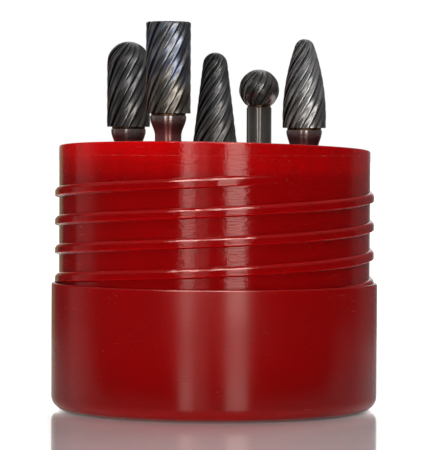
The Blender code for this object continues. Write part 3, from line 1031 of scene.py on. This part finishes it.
def build_world():
    """White to the camera, a plain grey for soft light, and a studio for reflections."""
    world = bpy.data.worlds.new("studio")
    bpy.context.scene.world = world
    world.use_nodes = True
    world.cycles.sampling_method = "NONE"
    tree = world.node_tree
    tree.nodes.clear()
    light = add_node(tree, "ShaderNodeLightPath").outputs
    toward = add_node(tree, "ShaderNodeTexCoord").outputs["Generated"]
    axes = add_node(tree, "ShaderNodeSeparateXYZ", {"Vector": toward}).outputs
    azimuth = azimuth_of(tree, axes)
    around = ramp(tree, plus(tree, times(tree, azimuth, 1 / TURN), 0.5), STUDIO)
    mirrored = blend_colours(tree, span(tree, axes["Z"], 0.3, 0.75), around, STUDIO_TOP)
    behind = span(tree, calc(tree, "ABSOLUTE", azimuth), 2.88, 2.95)
    astern = times(tree, behind, span(tree, axes["Z"], 0.0, 0.02))
    mirrored = blend_colours(tree, astern, mirrored, WHITE)
    soft = blend_colours(tree, light["Is Glossy Ray"], SOFT_LIGHT, mirrored)
    shown = largest(tree, light["Is Camera Ray"], light["Is Transmission Ray"])
    colour = blend_colours(tree, shown, soft, WHITE)
    back = add_node(tree, "ShaderNodeBackground", {"Color": colour, "Strength": 1.0})
    output = add_node(tree, "ShaderNodeOutputWorld")
    tree.links.new(back.outputs[0], output.inputs["Surface"])


def add_lamp(name, place, target, width, height, radiance, mirrored):
    """Rectangular area lamp aimed at a point, which either lights surfaces or is mirrored in them."""
    light = bpy.data.lights.new(name, "AREA")
    light.shape = "RECTANGLE"
    light.size = width
    light.size_y = height
    light.energy = POWER_PER_RADIANCE * radiance * width * height
    lamp = bpy.data.objects.new(name, light)
    lamp.location = place
    aim = Vector(target) - Vector(place)
    lamp.rotation_euler = aim.to_track_quat("-Z", "Y").to_euler()
    lamp.visible_camera = False
    lamp.visible_glossy = mirrored
    lamp.visible_diffuse = not mirrored
    bpy.context.scene.collection.objects.link(lamp)
    return lamp


def add_strip(name, azimuths, length, radiance, distance):
    """Upright strip softbox that the front of the case mirrors between two azimuths."""
    first, last = azimuths
    low, high = length
    width = 2 * distance * math.tan(math.radians(last - first) / 2)
    x, y, z = polar(distance, math.radians((first + last) / 2), (low + high) / 2)
    place = (x, y - NECK_RADIUS, z)
    return add_lamp(name, place, (0.0, -NECK_RADIUS, z), width, high - low, radiance, True)


def add_lights():
    """Strips to be mirrored, some of them by the case alone, and broad lamps."""
    for strip in STRIPS:
        add_strip(*strip, STRIP_DISTANCE)
    case_only = bpy.data.collections.new("case_only")
    case_only.objects.link(bpy.data.objects["case_shell"])
    for strip in CASE_STRIPS:
        lamp = add_strip(*strip, CASE_STRIP_DISTANCE)
        lamp.light_linking.receiver_collection = case_only
    for name, place, target, size, radiance in BROAD_LAMPS:
        add_lamp(name, place, target, size, size, radiance, False)


def add_camera():
    """Long lens, level with the rim and almost square to the case."""
    data = bpy.data.cameras.new("camera")
    data.sensor_width = SENSOR_WIDTH
    data.lens = CAMERA_LENS
    data.clip_end = CAMERA_RANGE
    camera = bpy.data.objects.new("camera", data)
    camera.location = CAMERA_PLACE
    camera.rotation_euler = (QUARTER - CAMERA_DOWN, CAMERA_ROLL, 0.0)
    bpy.context.scene.collection.objects.link(camera)
    bpy.context.scene.camera = camera


def list_burrs():
    """The five burrs with their forms and the finishes of their heads."""
    # The heads' carbide is one finish in copies painted at different levels of light; the tree burr's copy
    # is painted brightest
    dark = carbide_finish("ground_carbide", tint=0.15, contrast=1.0, level=1.08, shaded_dome_level=0.62,
                          roughness=0.26, seed=0.0)
    painted_brighter = carbide_finish("carbide_painted_brighter", tint=0.1, contrast=1.0, level=1.95, shaded_dome_level=1.5,
                            roughness=0.22, seed=60.0)
    smoothed = carbide_finish("smoothed_carbide", tint=0.1, contrast=0.7, level=1.3, shaded_dome_level=0.9,
                              roughness=0.19, seed=40.0)
    tinted = carbide_finish("tinted_carbide", tint=0.8, contrast=1.0, level=1.05, shaded_dome_level=0.7,
                            roughness=0.25, seed=20.0)
    cylinder = cylinder_outline()
    tree = tree_outline()
    ball = ball_outline()
    ball_nose = ball_nose_outline()
    taper = taper_outline()
    return (
        Burr("cylinder_burr", cylinder, FLUTE_DEPTH, 18, 31.0, -6.3, tinted, (0.4 * MM, 4.6 * MM)),
        Burr("tree_burr", tree, FLUTE_DEPTH, 18, 31.0, -10.0, painted_brighter, (0.1 * MM, 5.1 * MM)),
        Burr("ball_burr", ball, BALL_FLUTE_DEPTH, 16, 30.0, 0.0, smoothed, None),
        Burr("ball_nose_burr", ball_nose, FLUTE_DEPTH, 18, 30.0, -16.5, dark, (0.4 * MM, 4.8 * MM)),
        Burr("taper_burr", taper, FLUTE_DEPTH, 16, 35.0, -2.4, dark, (0.4 * MM, 4.8 * MM)),
    )


def main():
    """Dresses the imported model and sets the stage."""
    build_case(case_finish())
    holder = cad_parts["burr_holder"].data.materials
    holder.clear()
    holder.append(holder_finish())

    # Painted reflection of the red case on the necks, with heat tint
    tinted_and_reflecting_steel = steel_finish("heat_tinted_steel_painted_reflection", HEAT_TINT_AND_RED_REFLECTION, neck_roughness=0.3, top_roughness=0.22,
                             seed=1.0)
    plain_steel = steel_finish("plain_steel", PLAIN_STEEL, neck_roughness=0.2, top_roughness=0.2,
                               seed=0.0)
    filler = braze_finish()
    for burr in list_burrs():
        build_head(burr)
        build_shank(burr, tinted_and_reflecting_steel if burr.neck else plain_steel)
        build_braze(burr, filler)

    build_floor()
    build_world()
    add_lights()
    add_camera()
    bpy.context.scene.view_settings.view_transform = "Standard"


main()
